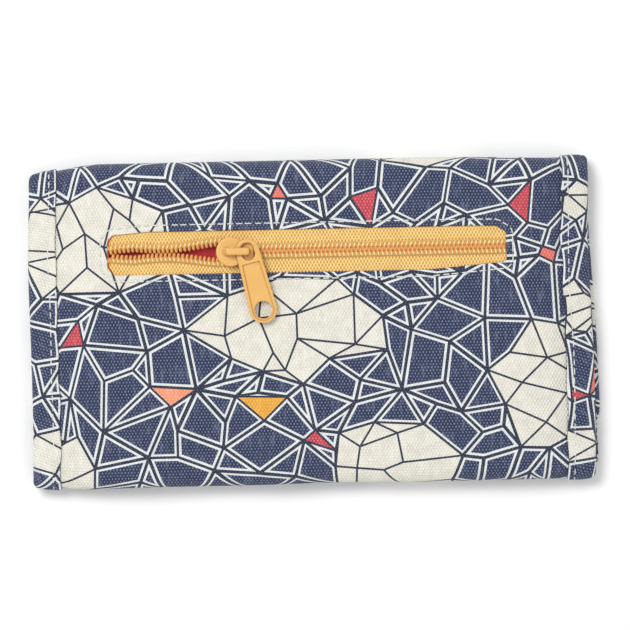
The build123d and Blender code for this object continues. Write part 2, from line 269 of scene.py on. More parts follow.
def face_outwards(mesh):
    bmesh.ops.recalc_face_normals(mesh, faces=mesh.faces)


def drop_loose(mesh):
    bmesh.ops.delete(mesh, geom=[v for v in mesh.verts if not v.link_faces], context="VERTS")


def weld(mesh):
    """Joins points that lie together and drops faces with no area."""
    bmesh.ops.remove_doubles(mesh, verts=mesh.verts, dist=WELD_GAP * MM)
    bmesh.ops.dissolve_degenerate(mesh, edges=mesh.edges, dist=NO_LENGTH)


def grid_faces(rows, columns, close_rows=False, close_columns=False):
    faces = []
    for i in range(rows - (not close_rows)):
        for j in range(columns - (not close_columns)):
            a, b = (i + 1) % rows, (j + 1) % columns
            faces.append((i * columns + j, i * columns + b, a * columns + b, a * columns + j))
    return faces


def thin_sheet(name, place, a, b, thick, material, uv=None, holes=None):
    """A closed thin sheet: place(a, b, depth) gives its points for depth 0 and thick."""
    aa, bb = (v.ravel() for v in np.meshgrid(a, b, indexing="ij"))
    count = len(aa)
    verts = np.vstack([place(aa, bb, 0.0), place(aa, bb, thick)])
    keep = np.ones((len(a) - 1, len(b) - 1), bool)
    if holes is not None:
        mid_a, mid_b = np.meshgrid((a[1:] + a[:-1]) / 2, (b[1:] + b[:-1]) / 2, indexing="ij")
        keep = ~holes(mid_a, mid_b)
    faces = []
    rim = {}
    for i in range(len(a) - 1):
        for j in range(len(b) - 1):
            if not keep[i, j]:
                continue
            c = i * len(b) + j
            loop = (c, c + 1, c + len(b) + 1, c + len(b))
            faces.append(loop)
            faces.append(tuple(v + count for v in reversed(loop)))
            for p, q in zip(loop, loop[1:] + loop[:1]):
                if (q, p) in rim:
                    del rim[(q, p)]
                else:
                    rim[(p, q)] = True
    faces += [(q, p, p + count, q + count) for p, q in rim]
    where = np.column_stack([aa, bb]) if uv is None else uv(aa, bb)
    piece = new_piece(name, verts, faces, [material], uv=np.vstack([where, where]))
    rework(piece, drop_loose, face_outwards)
    return piece


def spread(low, high, step):
    """Even values from low to high, at most step apart."""
    return np.linspace(low, high, max(2, int(math.ceil((high - low) / step)) + 1))


# ------------------------------------------------------------ materials


def srgb(r, g, b):
    """A colour given from 0 to 255, as linear light."""
    def channel(v):
        v = v / 255
        return v / 12.92 if v <= 0.04045 else ((v + 0.055) / 1.055) ** 2.4
    return (channel(r), channel(g), channel(b), 1.0)


class Nodes:
    """A short way to write a material's node tree."""

    def __init__(self, name):
        self.material = bpy.data.materials.new(name)
        self.material.use_nodes = True
        self.tree = self.material.node_tree
        self.shader = self.tree.nodes["Principled BSDF"]

    def node(self, kind, **values):
        made = self.tree.nodes.new("ShaderNode" + kind)
        for key, value in values.items():
            setattr(made, key, value)
        return made

    def link(self, source, target):
        if isinstance(source, (int, float, tuple)):
            target.default_value = source
        else:
            self.tree.links.new(source, target)

    def math(self, operation, a, b=0.0, c=0.0):
        made = self.node("Math", operation=operation)
        for value, socket in zip((a, b, c), made.inputs):
            self.link(value, socket)
        return made.outputs[0]

    def mix(self, amount, a, b):
        made = self.node("Mix", data_type="RGBA")
        self.link(amount, made.inputs[0])
        self.link(a, made.inputs[6])
        self.link(b, made.inputs[7])
        return made.outputs[2]

    def cloth_place(self, turn=0.0):
        """The cloth's own coordinates in mm, from the mesh's map."""
        found = self.node("UVMap", uv_map="cloth")
        turned = self.node("Mapping")
        turned.inputs["Rotation"].default_value = (0, 0, turn)
        self.link(found.outputs[0], turned.inputs[0])
        return turned.outputs[0]

    def object_place(self):
        return self.node("TexCoord").outputs["Object"]

    def noise(self, place, scale, detail=2.0, stretch=(1, 1, 1)):
        sized = self.node("Mapping")
        sized.inputs["Scale"].default_value = stretch
        self.link(place, sized.inputs[0])
        made = self.node("TexNoise")
        made.inputs["Scale"].default_value = scale
        made.inputs["Detail"].default_value = detail
        self.link(sized.outputs[0], made.inputs[0])
        return made.outputs[0]

    def bump(self, height, distance, strength=1.0, soft_edge=0.0):
        made = self.node("Bump")
        if soft_edge:
            eased = self.node("Bevel", samples=6)
            eased.inputs["Radius"].default_value = soft_edge * MM
            self.link(eased.outputs[0], made.inputs["Normal"])
        made.inputs["Distance"].default_value = distance * MM
        made.inputs["Strength"].default_value = strength
        self.link(height, made.inputs["Height"])
        self.link(made.outputs[0], self.shader.inputs["Normal"])

    def ramp(self, value, low, high):
        made = self.node("MapRange", interpolation_type="SMOOTHSTEP")
        self.link(value, made.inputs[0])
        made.inputs[1].default_value, made.inputs[2].default_value = low, high
        return made.outputs[0]


def weave_height(n, place, warp, weft):
    """A plain weave's crossings: positive where a warp thread is on top."""
    parts = n.node("SeparateXYZ")
    n.link(place, parts.inputs[0])
    stray = n.math("MULTIPLY", n.math("SUBTRACT", n.noise(place, 0.7, 2.0), 0.5), 0.9 * warp)
    across = n.math("MULTIPLY", n.math("ADD", parts.outputs[0], stray), math.pi / warp)
    across = n.math("SINE", across)
    along = n.math("MULTIPLY", n.math("ADD", parts.outputs[1], stray), math.pi / weft)
    rows = n.math("MULTIPLY", n.math("COSINE", n.math("MULTIPLY", along, 2.0)), -0.3)
    return n.math("ADD", n.math("MULTIPLY", across, n.math("SINE", along)), rows)


WARP, WEFT = 0.57, 1.05  # from one thread's crossing to the next, across and along


def cloth(name, base, fleck, fleck_share=0.8, warp=WARP, weft=WEFT, turn=0.0, rough=0.9,
          sheen=0.15, depth=0.14, mottle=0.07, pit_shade=0.45):
    """Woven cotton: threads that catch the ink unevenly, slubs, a soft nap and painted shade where the weave
    sinks.
    """
    n = Nodes(name)
    place = n.cloth_place(turn)
    crossing = weave_height(n, place, warp, weft)
    slub = n.noise(place, 0.9, 3.0, (1.0, 0.18, 1.0))
    patch = n.noise(place, 0.22, 3.0)
    grit = n.noise(place, 3.1, 1.0)
    top = n.ramp(crossing, 0.1, 0.9)
    amount = n.math("MULTIPLY", top, n.ramp(grit, 0.2, 0.55))
    amount = n.math("MULTIPLY", amount, fleck_share)
    dark = tuple(c * (1 - mottle) for c in base[:3]) + (1.0,)
    light = tuple(min(1, c * (1 + mottle)) for c in base[:3]) + (1.0,)
    ground = n.mix(n.ramp(patch, 0.3, 0.7), dark, light)
    ground = n.mix(n.math("MULTIPLY", n.ramp(slub, 0.5, 0.75), 0.35), ground, fleck)
    # Painted shade: the weave's low points between crossings are darkened towards half the ink's colour.
    pit_shade_colour = tuple(c * 0.5 for c in base[:3]) + (1.0,)
    shade = n.ramp(crossing, -0.2, -1.0)
    ground = n.mix(n.math("MULTIPLY", shade, pit_shade), ground, pit_shade_colour)
    n.link(n.mix(amount, ground, fleck), n.shader.inputs["Base Color"])
    height = n.math("ADD", crossing, n.math("MULTIPLY", slub, 0.8))
    n.bump(height, depth)
    n.shader.inputs["Roughness"].default_value = rough
    n.shader.inputs["Sheen Weight"].default_value = sheen
    n.shader.inputs["Sheen Roughness"].default_value = 0.5
    n.shader.inputs["Specular IOR Level"].default_value = 0.2
    return n.material


PRINT = {  # each ink of the print: its colour and the colour of its light threads
    "line": (srgb(46, 52, 70), srgb(96, 101, 120)),
    "white": (srgb(222, 226, 224), srgb(246, 247, 244)),
    "navy": (srgb(47, 56, 85), srgb(140, 147, 170)),
    "cream": (srgb(222, 219, 206), srgb(248, 246, 238)),
    "coral": (srgb(232, 118, 104), srgb(246, 168, 158)),
    "salmon": (srgb(240, 152, 116), srgb(250, 196, 168)),
    "red": (srgb(192, 70, 82), srgb(230, 136, 140)),
    "mustard": (srgb(230, 164, 62), srgb(250, 206, 128)),
}
INKS = list(PRINT)


def print_materials(kind, turn=0.0):
    dark = ("navy", "line", "red")
    return [cloth(f"{kind}_{ink}", *PRINT[ink], turn=turn, fleck_share=0.8 if ink in dark else 0.7,
                  pit_shade=0.45 if ink in dark else 0.3) for ink in INKS]


CANVAS_INKS = print_materials("canvas")
BIAS_INKS = print_materials("bias", math.pi / 4)
LINING_CLOTH = cloth("crimson_lining", srgb(186, 46, 56), srgb(222, 96, 96), warp=0.26, weft=0.24,
                     depth=0.05, sheen=0.1)
RUST_EDGE = cloth("rust_edge", srgb(176, 84, 40), srgb(206, 120, 70), warp=0.26, weft=0.24, depth=0.05)
FLEECE_CLOTH = cloth("fleece", srgb(226, 224, 216), srgb(240, 238, 232), warp=0.9, weft=0.9, depth=0.1)
THREAD = cloth("thread", srgb(226, 226, 220), srgb(248, 248, 244), warp=0.16, weft=0.3, depth=0.05)
YARN = cloth("coil_yarn", srgb(253, 228, 156), srgb(255, 246, 206), warp=0.14, weft=0.3, depth=0.04)


def tape_material():
    """Woven zip tape: a fine slanted twill in two mustards, with painted shade in its low threads and along
    the coil.
    """
    n = Nodes("zip_tape")
    place = n.cloth_place()
    parts = n.node("SeparateXYZ")
    n.link(place, parts.inputs[0])
    x, y = parts.outputs[0], parts.outputs[1]
    rib = n.math("SINE", n.math("MULTIPLY", x, math.pi / 0.58))
    cross = n.math("SINE", n.math("MULTIPLY", y, math.pi / 1.05))
    knit = n.math("MULTIPLY", rib, cross)
    grit = n.noise(place, 2.6, 2.0)
    patch = n.noise(place, 0.25, 2.0)
    ground = n.mix(n.ramp(patch, 0.3, 0.7), srgb(221, 178, 99), srgb(231, 191, 112))
    ground = n.mix(n.ramp(n.math("ADD", knit, grit), 0.6, 1.3), ground, srgb(252, 224, 156))
    # Painted shade: the twill's low threads are darkened.
    ground = n.mix(n.ramp(n.math("ADD", knit, grit), 0.4, -0.5), ground, srgb(186, 128, 52))
    # Painted shade: the tape is darkened along its edge under and beside the coil.
    coil_edge_shade = n.math("MULTIPLY", n.ramp(y, 2.15, 1.7), 0.75)
    ground = n.mix(coil_edge_shade, ground, srgb(200, 140, 66))
    n.link(ground, n.shader.inputs["Base Color"])
    n.bump(n.math("ADD", knit, n.math("MULTIPLY", grit, 0.5)), 0.13)
    n.shader.inputs["Roughness"].default_value = 0.82
    n.shader.inputs["Sheen Weight"].default_value = 0.2
    return n.material


def coil_material():
    """Moulded nylon in mustard, slightly glossy, a little darker in places."""
    n = Nodes("zip_coil")
    place = n.object_place()
    patch = n.noise(place, 900.0, 2.0)
    n.link(n.mix(patch, srgb(206, 138, 70), srgb(228, 166, 96)), n.shader.inputs["Base Color"])
    n.bump(n.noise(place, 5000.0, 1.0), 0.02)
    n.shader.inputs["Roughness"].default_value = 0.42
    return n.material


def metal_paint():
    """Mustard enamel on zinc: orange peel, faint handling marks, thin paint on edges and painted shade in its
    recesses.
    """
    n = Nodes("mustard_enamel")
    place = n.object_place()
    worn = n.ramp(n.node("NewGeometry").outputs["Pointiness"], 0.54, 0.62)
    speck = n.ramp(n.noise(place, 700.0, 4.0), 0.62, 0.72)
    tint = n.mix(n.noise(place, 160.0, 2.0), srgb(216, 164, 84), srgb(228, 178, 98))
    tint = n.mix(n.math("MULTIPLY", n.math("MULTIPLY", worn, speck), 0.5), tint, srgb(246, 214, 150))
    # Painted shade: recesses that ambient occlusion finds within 0.9 mm are darkened to a deep mustard.
    recess_shade = n.node("AmbientOcclusion", samples=6)
    recess_shade.inputs["Distance"].default_value = 0.9 * MM
    unshaded_share = n.ramp(recess_shade.outputs["AO"], 0.35, 0.95)
    tint = n.mix(unshaded_share, srgb(172, 116, 46), tint)
    n.link(tint, n.shader.inputs["Base Color"])
    rough = n.math("ADD", 0.3, n.math("MULTIPLY", n.noise(place, 420.0, 3.0), 0.14))
    n.link(rough, n.shader.inputs["Roughness"])
    n.bump(n.noise(place, 1400.0, 1.0), 0.03, 0.5, soft_edge=0.4)
    n.shader.inputs["Coat Weight"].default_value = 0.5
    n.shader.inputs["Coat Roughness"].default_value = 0.12
    return n.material


def snap_material():
    """Antique brass with a brown bloom in patches."""
    n = Nodes("antique_brass")
    place = n.object_place()
    bloom = n.ramp(n.noise(place, 380.0, 4.0), 0.35, 0.7)
    n.link(n.mix(bloom, srgb(172, 138, 82), srgb(112, 86, 52)), n.shader.inputs["Base Color"])
    n.link(n.math("ADD", 0.26, n.math("MULTIPLY", bloom, 0.2)), n.shader.inputs["Roughness"])
    n.bump(n.noise(place, 2600.0, 2.0), 0.015)
    n.shader.inputs["Metallic"].default_value = 1.0
    return n.material


# ------------------------------------------------------------ the printed mosaic


def clip(polygon, normal, limit):
    """The part of a polygon where normal . p <= limit."""
    kept = []
    for i, p in enumerate(polygon):
        q = polygon[(i + 1) % len(polygon)]
        dp = normal[0] * p[0] + normal[1] * p[1] - limit
        dq = normal[0] * q[0] + normal[1] * q[1] - limit
        if dp <= 0:
            kept.append(p)
        if (dp < 0 < dq) or (dq < 0 < dp):
            f = dp / (dp - dq)
            kept.append((p[0] + f * (q[0] - p[0]), p[1] + f * (q[1] - p[1])))
    return kept


def area(polygon):
    return sum(p[0] * q[1] - q[0] * p[1] for p, q in zip(polygon, polygon[1:] + polygon[:1])) / 2


def inset(polygon, amount):
    """A convex polygon moved inwards by amount, or an empty list."""
    kept = list(polygon)
    for i, p in enumerate(polygon):
        q = polygon[(i + 1) % len(polygon)]
        ex, ey = q[0] - p[0], q[1] - p[1]
        long = math.hypot(ex, ey)
        if long < 1e-6:
            continue
        normal = (ey / long, -ex / long)
        kept = clip(kept, normal, normal[0] * p[0] + normal[1] * p[1] - amount)
        if len(kept) < 3:
            return []
    return kept if area(kept) > 0.12 else []


def convex(polygon):
    for i, p in enumerate(polygon):
        q, r = polygon[(i + 1) % len(polygon)], polygon[(i + 2) % len(polygon)]
        turn = (q[0] - p[0]) * (r[1] - q[1]) - (q[1] - p[1]) * (r[0] - q[0])
        if turn < 0.02 * math.dist(p, q) * math.dist(q, r):
            return False
    return True


def blob(rng, x, y, size, points=9):
    """An irregular straight-sided patch."""
    turn = rng.uniform(0, 6)
    out = []
    for i in range(points):
        angle = turn + 2 * math.pi * (i + rng.uniform(-0.3, 0.3)) / points
        radius = size * rng.uniform(0.62, 1.15)
        out.append((x + radius * math.cos(angle), y + radius * math.sin(angle)))
    return out


def patch(rng, x, y, wide, high, corners):
    """An irregular patch stretched to about a half width and half height."""
    return [(x + u * wide, y + v * high) for u, v in blob(rng, 0, 0, 1, corners)]


def joined(first, second):
    """Two counter-clockwise loops that share one edge as one loop, or None."""
    for i, p in enumerate(first):
        q = first[(i + 1) % len(first)]
        if q in second and p in second:
            j = second.index(q)
            if second[(j + 1) % len(second)] == p:
                rest = [second[(j + k) % len(second)] for k in range(2, len(second))]
                loop = first[: i + 1] + rest + first[i + 1:]
                return loop if len(set(loop)) == len(loop) else None
    return None


def mosaic(seed, low, high, size, zones, accents, busy=()):
    """Straight-edged cells over a rectangle, as (polygon, ink).

    zones are (ink, polygon) patches kept whole in outline: a cream patch is split into
    cells of its own, and any other is one cell. busy are (x, y, reach) places where
    the cells are small.
    """
    rng = random.Random(seed)
    margin = 14.0
    zones = [(ink, polygon if area(polygon) > 0 else polygon[::-1]) for ink, polygon in zones]
    points = [p for _, polygon in zones for p in polygon]
    solid = [polygon for ink, polygon in zones if ink != "cream"]

    def clear(p, gap):
        if any(math.dist(p, q) < gap for q in points):
            return False
        return not any(inside(p, polygon) for polygon in solid)

    for _ in range(int(14 * (high[0] - low[0]) * (high[1] - low[1]) / size ** 2)):
        p = (rng.uniform(low[0] - margin, high[0] + margin), rng.uniform(low[1] - margin, high[1] + margin))
        near = min((math.dist(p, b[:2]) / b[2] for b in busy), default=9)
        gap = size * (0.5 if near < 1 else rng.choice((0.6, 0.85, 1.0, 1.0)))
        if clear(p, gap):
            points.append(p)

    faces, start = [], 0
    for _, polygon in zones:
        faces.append(list(range(start, start + len(polygon))))
        start += len(polygon)
    made = delaunay_2d_cdt([Vector(p) for p in points], [], faces, 0, 1e-5, True)
    verts = [tuple(v) for v in made[0]]
    loops, tags = [], []
    for face, origin in zip(made[2], made[5]):
        loop = list(face)
        if area([verts[i] for i in loop]) < 0:
            loop.reverse()
        loops.append(loop)
        tags.append(min(origin) if origin else -1)

    owner = list(range(len(loops)))
    by_edge = {}
    for i, loop in enumerate(loops):
        for a, b in zip(loop, loop[1:] + loop[:1]):
            by_edge.setdefault(frozenset((a, b)), []).append(i)
    shared = [(math.dist(*(verts[v] for v in edge)), sorted(edge), pair)
              for edge, pair in by_edge.items() if len(pair) == 2]
    shared.sort(key=lambda item: -item[0] * rng.uniform(0.55, 1.0))

    def root(i):
        while owner[i] != i:
            i = owner[i]
        return i

    for _, edge, pair in shared:
        a, b = root(pair[0]), root(pair[1])
        if a == b or tags[a] != tags[b]:
            continue
        whole = tags[a] >= 0 and zones[tags[a]][0] != "cream"
        if not whole and rng.random() > 0.58:
            continue
        loop = joined(loops[a], loops[b])
        if loop is None or (not whole and len(loop) > 5):
            continue
        polygon = [verts[i] for i in loop]
        if not whole and (not convex(polygon) or area(polygon) > 1.5 * size ** 2):
            continue
        owner[b] = a
        loops[a] = loop

    cells = []
    for i, loop in enumerate(loops):
        if root(i) != i:
            continue
        polygon = [verts[v] for v in loop]
        ink = zones[tags[i]][0] if tags[i] >= 0 else "navy"
        if ink == "navy" and len(polygon) == 3 and rng.random() < accents and area(polygon) > 12:
            ink = rng.choice(("red", "coral", "mustard", "salmon"))
        cells.append((polygon, ink, rng.uniform(0.36, 0.72), rng.uniform(0.62, 0.86)))
    return cells


def inside(p, polygon):
    found = False
    for (ax, ay), (bx, by) in zip(polygon, polygon[1:] + polygon[:1]):
        if (ay > p[1]) != (by > p[1]) and p[0] < (bx - ax) * (p[1] - ay) / (by - ay) + ax:
            found = not found
    return found


def dense(polygon, reach):
    """The polygon with its sides cut up, none longer than reach allows where it lies."""
    out = []
    for p, q in zip(polygon, polygon[1:] + polygon[:1]):
        along = [(p[0] + (q[0] - p[0]) * f, p[1] + (q[1] - p[1]) * f) for f in (0, 0.25, 0.5, 0.75, 1)]
        count = max(1, math.ceil(math.dist(p, q) / min(reach(*point) for point in along)))
        out += [(p[0] + (q[0] - p[0]) * k / count, p[1] + (q[1] - p[1]) * k / count) for k in range(count)]
    return out


def printed(name, cells, outline, holes, extra, place, materials, reach):
    """A sheet of printed cloth: the cells' inks cut into one fine mesh, laid by place(a, b).

    outline bounds it and holes are left out, in the cloth's own (a, b) coordinates in
    mm. extra are more points, and reach(a, b) the longest edge, so that the mesh can bend.
    """
    verts, faces, kinds = [], [], []

    def add(polygon, kind):
        polygon = dense(polygon, reach)
        polygon = polygon if area(polygon) > 0 else polygon[::-1]
        faces.append(list(range(len(verts), len(verts) + len(polygon))))
        verts.extend(polygon)
        kinds.append(kind)

    low = [min(p[i] for p in outline) for i in (0, 1)]
    high = [max(p[i] for p in outline) for i in (0, 1)]
    add(outline, "outline")
    for hole in holes:
        add(hole, "hole")
    for polygon, ink, gap, white in cells:
        for normal, limit in (((-1, 0), -low[0]), ((1, 0), high[0]), ((0, -1), -low[1]), ((0, 1), high[1])):
            if len(polygon) >= 3:
                polygon = clip(polygon, normal, limit)
        if len(polygon) < 3 or area(polygon) < 0.3:
            continue
        if ink == "navy":
            ring = inset(polygon, gap)
            if ring:
                add(ring, "white")
                fill = inset(ring, white)
                if fill:
                    add(fill, "navy")
        else:
            fill = inset(polygon, 0.36 if ink == "cream" else 0.3)
            if fill:
                add(fill, ink)
    verts.extend(extra)
    made = delaunay_2d_cdt([Vector(p) for p in verts], [], faces, 0, 1e-4, True)
    flat = np.array([tuple(v) for v in made[0]])
    triangles, inks = [], []
    for face, origin in zip(made[2], made[5]):
        found = {kinds[i] for i in origin}
        if "hole" in found:
            continue
        if "outline" not in found:
            middle = flat[list(face)].mean(axis=0)
            if not inside(middle, outline) or any(inside(middle, hole) for hole in holes):
                continue
        found -= {"outline", "white"} if len(found - {"outline"}) > 1 else {"outline"}
        ink = found.pop() if found else "line"
        corners = [tuple(flat[i]) for i in face]
        triangles.append(face if area(corners) > 0 else face[::-1])
        inks.append(INKS.index(ink))
    used = sorted({i for face in triangles for i in face})
    number = {old: new for new, old in enumerate(used)}
    flat = flat[used]
    triangles = [[number[i] for i in face] for face in triangles]
    return new_piece(name, place(flat[:, 0], flat[:, 1]), triangles, materials, inks, flat)


# ------------------------------------------------------------ the window


def rounded(corners, radius, step=0.5):
    """A convex outline with its corners rounded."""
    out = []
    for i, p in enumerate(corners):
        before, after = np.array(corners[i - 1]), np.array(corners[(i + 1) % len(corners)])
        p = np.array(p, float)
        u, v = before - p, after - p
        u, v = u / np.hypot(*u), v / np.hypot(*v)
        half = math.acos(np.clip(u @ v, -1, 1)) / 2
        reach = radius / math.tan(half)
        centre = p + (u + v) / np.hypot(*(u + v)) * radius / math.sin(half)
        first, last = p + u * reach - centre, p + v * reach - centre
        a0, a1 = math.atan2(first[1], first[0]), math.atan2(last[1], last[0])
        sweep = (a1 - a0 + math.pi) % (2 * math.pi) - math.pi
        count = max(2, int(abs(sweep) * radius / step) + 1)
        for k in range(count + 1):
            angle = a0 + sweep * k / count
            out.append((centre[0] + radius * math.cos(angle), centre[1] + radius * math.sin(angle)))
    return out


WIN_LEFT, WIN_RIGHT = LIP_LOW[0], LIP_HIGH[0]
WIN_LOW, WIN_HIGH = LIP_LOW[1], LIP_HIGH[1]
WIN_END = WIN_RIGHT + 1.2
WINDOW = rounded([
    (WIN_LEFT + 2.4, WIN_LOW + 0.2), (WIN_RIGHT - 26, WIN_LOW), (WIN_END, WIN_LOW + 2.2),
    (WIN_END, WIN_HIGH - 2.3), (WIN_END - 3.6, WIN_HIGH - 0.1), (WIN_LEFT + 14, WIN_HIGH),
    (WIN_LEFT + 1.8, WIN_HIGH - 1.0), (WIN_LEFT, WIN_HIGH - 3.4), (WIN_LEFT, WIN_LOW + 2.8)], 1.3)


def within_window(x, y):
    """How far inside the window's edge each point is, negative outside, and the way out."""
    loop = np.array(WINDOW)
    ahead = np.roll(loop, -1, axis=0) - loop
    ahead /= np.hypot(ahead[:, 0], ahead[:, 1])[:, None]
    dx, dy = x[:, None] - loop[:, 0], y[:, None] - loop[:, 1]
    gaps = ahead[:, 0] * dy - ahead[:, 1] * dx
    nearest = gaps.argmin(axis=1)
    return gaps.min(axis=1), np.column_stack([ahead[nearest, 1], -ahead[nearest, 0]])


def ring_outline(grow, step):
    """Points round the window, grow outside its edge."""
    points = []
    for p, q in zip(WINDOW, WINDOW[1:] + WINDOW[:1]):
        count = max(1, int(math.dist(p, q) / step))
        points += [(p[0] + (q[0] - p[0]) * k / count, p[1] + (q[1] - p[1]) * k / count) for k in range(count)]
    loop = np.array(points)
    ahead = np.roll(loop, -1, axis=0) - np.roll(loop, 1, axis=0)
    ahead /= np.hypot(ahead[:, 0], ahead[:, 1])[:, None]
    out = loop + grow * np.column_stack([ahead[:, 1], -ahead[:, 0]])
    return [tuple(point) for point in out.tolist()]


STITCH_OUT = 2.3
STITCH_PITCH = 3.2
ROLL = 0.5  # the rounding of a turned edge


def lay_canvas(x, t):
    """The body's canvas, with the window's turned edge, its stitched groove and the mouth's edge."""
    x, t = x.copy(), t.copy()
    y = t - T_BACK + TURN_C[0]
    on_back = (t > T_BACK) & (t < T_FOLD)
    depth, outward = within_window(x, np.where(on_back, y, 0))
    e = np.where(on_back, depth + ROLL, -50)
    seam = STITCH_OUT - ROLL
    near = smooth(-e, 7, seam)
    along = np.where(np.abs(y - ZIP_Y) < 5.5, y, x)
    pucker = 0.08 * np.cos(2 * math.pi * along / STITCH_PITCH) * smooth(np.abs(e + seam), 2.2, 0.3)
    swell = 0.2 * smooth(-e, seam + 0.2, seam * 0.45)
    groove = -0.22 * np.exp(-((e + seam) / 0.55) ** 2)
    out = near * (pucker + swell + groove) * on_back
    out -= 0.4 * smooth(np.abs(x), COVER_X - 3.5, COVER_X)
    rolled = np.clip(e, 0, 1.2)
    bend = np.clip(rolled / ROLL, 0, math.pi / 2)
    pull = (rolled - ROLL * np.sin(bend)) * (e > 0)
    x += outward[:, 0] * pull
    t += outward[:, 1] * pull
    out -= ROLL * (1 - np.cos(bend)) + np.clip(rolled - ROLL * math.pi / 2, 0, 1)
    hem = np.clip(-t, 0, 1.4)
    bend = np.clip(hem / ROLL, 0, math.pi / 2)
    out -= ROLL * (1 - np.cos(bend)) + np.clip(hem - ROLL * math.pi / 2, 0, 1)
    t = np.where(t < 0, -ROLL * np.sin(bend), t)
    return lay(x, t, out)


def lattice(x0, x1, t0, t1, step):
    """Points over a stretch of the strip, closer together round its bends."""
    rows = []
    for a, b, gap in ((T_FRONT, T_TURN, step), (T_TURN, T_BACK, 1.0), (T_BACK, T_FOLD, step),
                      (T_FOLD, T_FLAP, 1.0), (T_FLAP, T_END + 2, step)):
        a, b = max(a, t0), min(b, t1)
        if b > a:
            rows += list(spread(a, b, gap))
    columns = spread(x0, x1, step)
    return [(float(x), float(t)) for x in columns for t in sorted(set(rows))]


def on_strip(points):
    """Points drawn as (x, y) on the back, in the strip's (x, t)."""
    return [(x, float(back_t(y))) for x, y in points]


CELL, BIAS_CELL = 13.4, 12.5  # the mosaic's cells across
ACCENTS, BIAS_ACCENTS = 0.015, 0.02  # the share of dark triangles that are coloured

PATCHES = [  # colour patches on the back: ink, middle, half width and height, corners
    ("cream", -74, 32, 28, 22, 11), ("cream", -6, 0, 36, 22, 12), ("cream", -84, -50, 9, 13, 7),
    ("cream", 27, -54, 25, 17, 11), ("cream", 79, -22, 17, 24, 11), ("cream", 42, 66, 24, 14, 9),
    ("mustard", -18, -28, 14, 8, 3), ("red", 19, 40, 8, 9, 3), ("coral", -10, 44, 4, 4, 3),
    ("red", 74, 42, 5, 13, 3), ("coral", 83, 22, 4, 4, 4), ("red", -82, -4, 5, 9, 3),
    ("salmon", -50, -24, 10, 4, 3), ("red", 4, -42, 7, 5, 3)]
BUSY = [(30, 12, 16), (-3, 28, 10), (75, 24, 12), (80, -20, 14), (-20, -18, 12), (-60, 48, 12),
        (22, -44, 12), (66, -48, 12)]


def print_zones():
    rng = random.Random(21)
    own = random.Random(23)
    zones = [(ink, on_strip(patch(own, *shape))) for ink, *shape in PATCHES]
    for x, t, size in ((-60, 40, 24), (8, 62, 20), (62, 30, 22), (-18, 12, 14),
                       (-50, 262, 24), (30, 250, 18), (70, 285, 22), (-5, 300, 20), (-82, 305, 12)):
        zones.append(("cream", blob(rng, x, t, size)))
    return zones


CANVAS_STEP = 2.4  # between the points of the canvas where it lies flat


def canvas_reach(x, t):
    """The longest edge in the canvas's mesh: short round its bends and at the window."""
    if T_TURN - 1 < t < T_BACK + 1 or T_FOLD - 1 < t < T_FLAP + 1 or t < 1:
        return 1.0
    if abs(t - back_t(ZIP_Y)) < WIN_HIGH - ZIP_Y + 4 and WIN_LEFT - 4 < x < WIN_END + 4:
        return 0.9
    return CANVAS_STEP


def canvases(cells):
    """The printed cloth: the body's and the flap's, which meet at the middle of the fold."""
    hem = 1.3
    hole = on_strip(ring_outline(-0.7, 0.9))
    around = []
    for grow in (-0.45, -0.2, 0.0, 0.25, 0.5, 1.1, 1.7, STITCH_OUT, 2.9, 3.6, 4.6, 6.0):
        around += on_strip(ring_outline(grow, 0.8 if 0.5 < grow < 4 else 1.2))
    meshed = on_strip(ring_outline(6.6, 8))
    extra = [p for p in lattice(-PANEL_X, PANEL_X, 0, T_MID, CANVAS_STEP) if not inside(p, meshed)]
    outline = [(-PANEL_X, -hem), (PANEL_X, -hem), (PANEL_X, T_MID), (-PANEL_X, T_MID)]
    body = printed("canvas_body", cells, outline, [hole], extra + around + edge_points(-hem),
                   lay_canvas, CANVAS_INKS, canvas_reach)
    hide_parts("outer_canvas", "fold_canvas")

    route = flap_edge(0.0)
    count = int(route.length / 2)
    loop = route.at(np.linspace(0, route.length, count))[0].tolist()
    outline = [tuple(p) for p in loop]
    extra = [p for p in lattice(-PANEL_X, PANEL_X, T_MID, T_END, CANVAS_STEP) if inside(p, outline)]
    flap = printed("canvas_flap", cells, outline, [], extra, lambda x, t: lay(x, t, 0.0),
                   CANVAS_INKS, canvas_reach)
    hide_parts("flap_canvas")
    return body, flap


def edge_points(low):
    """Points along the mouth's hem, which ends at low."""
    return [(float(x), low * part) for x in spread(-PANEL_X, PANEL_X, CANVAS_STEP)
            for part in (0.75, 0.5, 0.25)]


def flap_edge(grow):
    """The flap's outline in (x, t), from the left end of the fold round to the right."""
    x, end, r = PANEL_X + grow, T_END + grow, FLAP_CORNER + grow
    return (Route((-x, T_MID)).line(-x, end - r).arc((-x + r, end - r), 180, -90)
            .line(x - r, end).arc((x - r, end - r), 90, -90).line(x, T_MID))


# ------------------------------------------------------------ the bindings

EDGE = 0.5  # rounding of the binding's folded inner edge
SIDE_R = 1.5
WIDE = HALF - COVER_X
SEAMS = {"left": WIDE - 2.6, "right": WIDE - 2.4, "flap": WIDE - 2.8}  # the stitches, in from the side


def side_edge(sign):
    """A bound side of the body in (x, t), with the panel on its right."""
    if sign < 0:
        return Route((-HALF, 0.0)).line(-HALF, T_MID)
    return Route((HALF, T_MID)).line(HALF, 0.0)


def outer_leg():
    """The part of a binding's profile that lies on the panel, out to its rounded side."""
    top = BINDING
    return (Route((WIDE, 0.0)).line(WIDE, top - EDGE).arc((WIDE - EDGE, top - EDGE), 0, 90)
            .line(SIDE_R, top).arc((SIDE_R, top - SIDE_R), 90, 90))


def leg_profile():
    """Across the body's binding as (distance in from the side, out): top edge to half depth."""
    return outer_leg().line(0, -TURN_R)


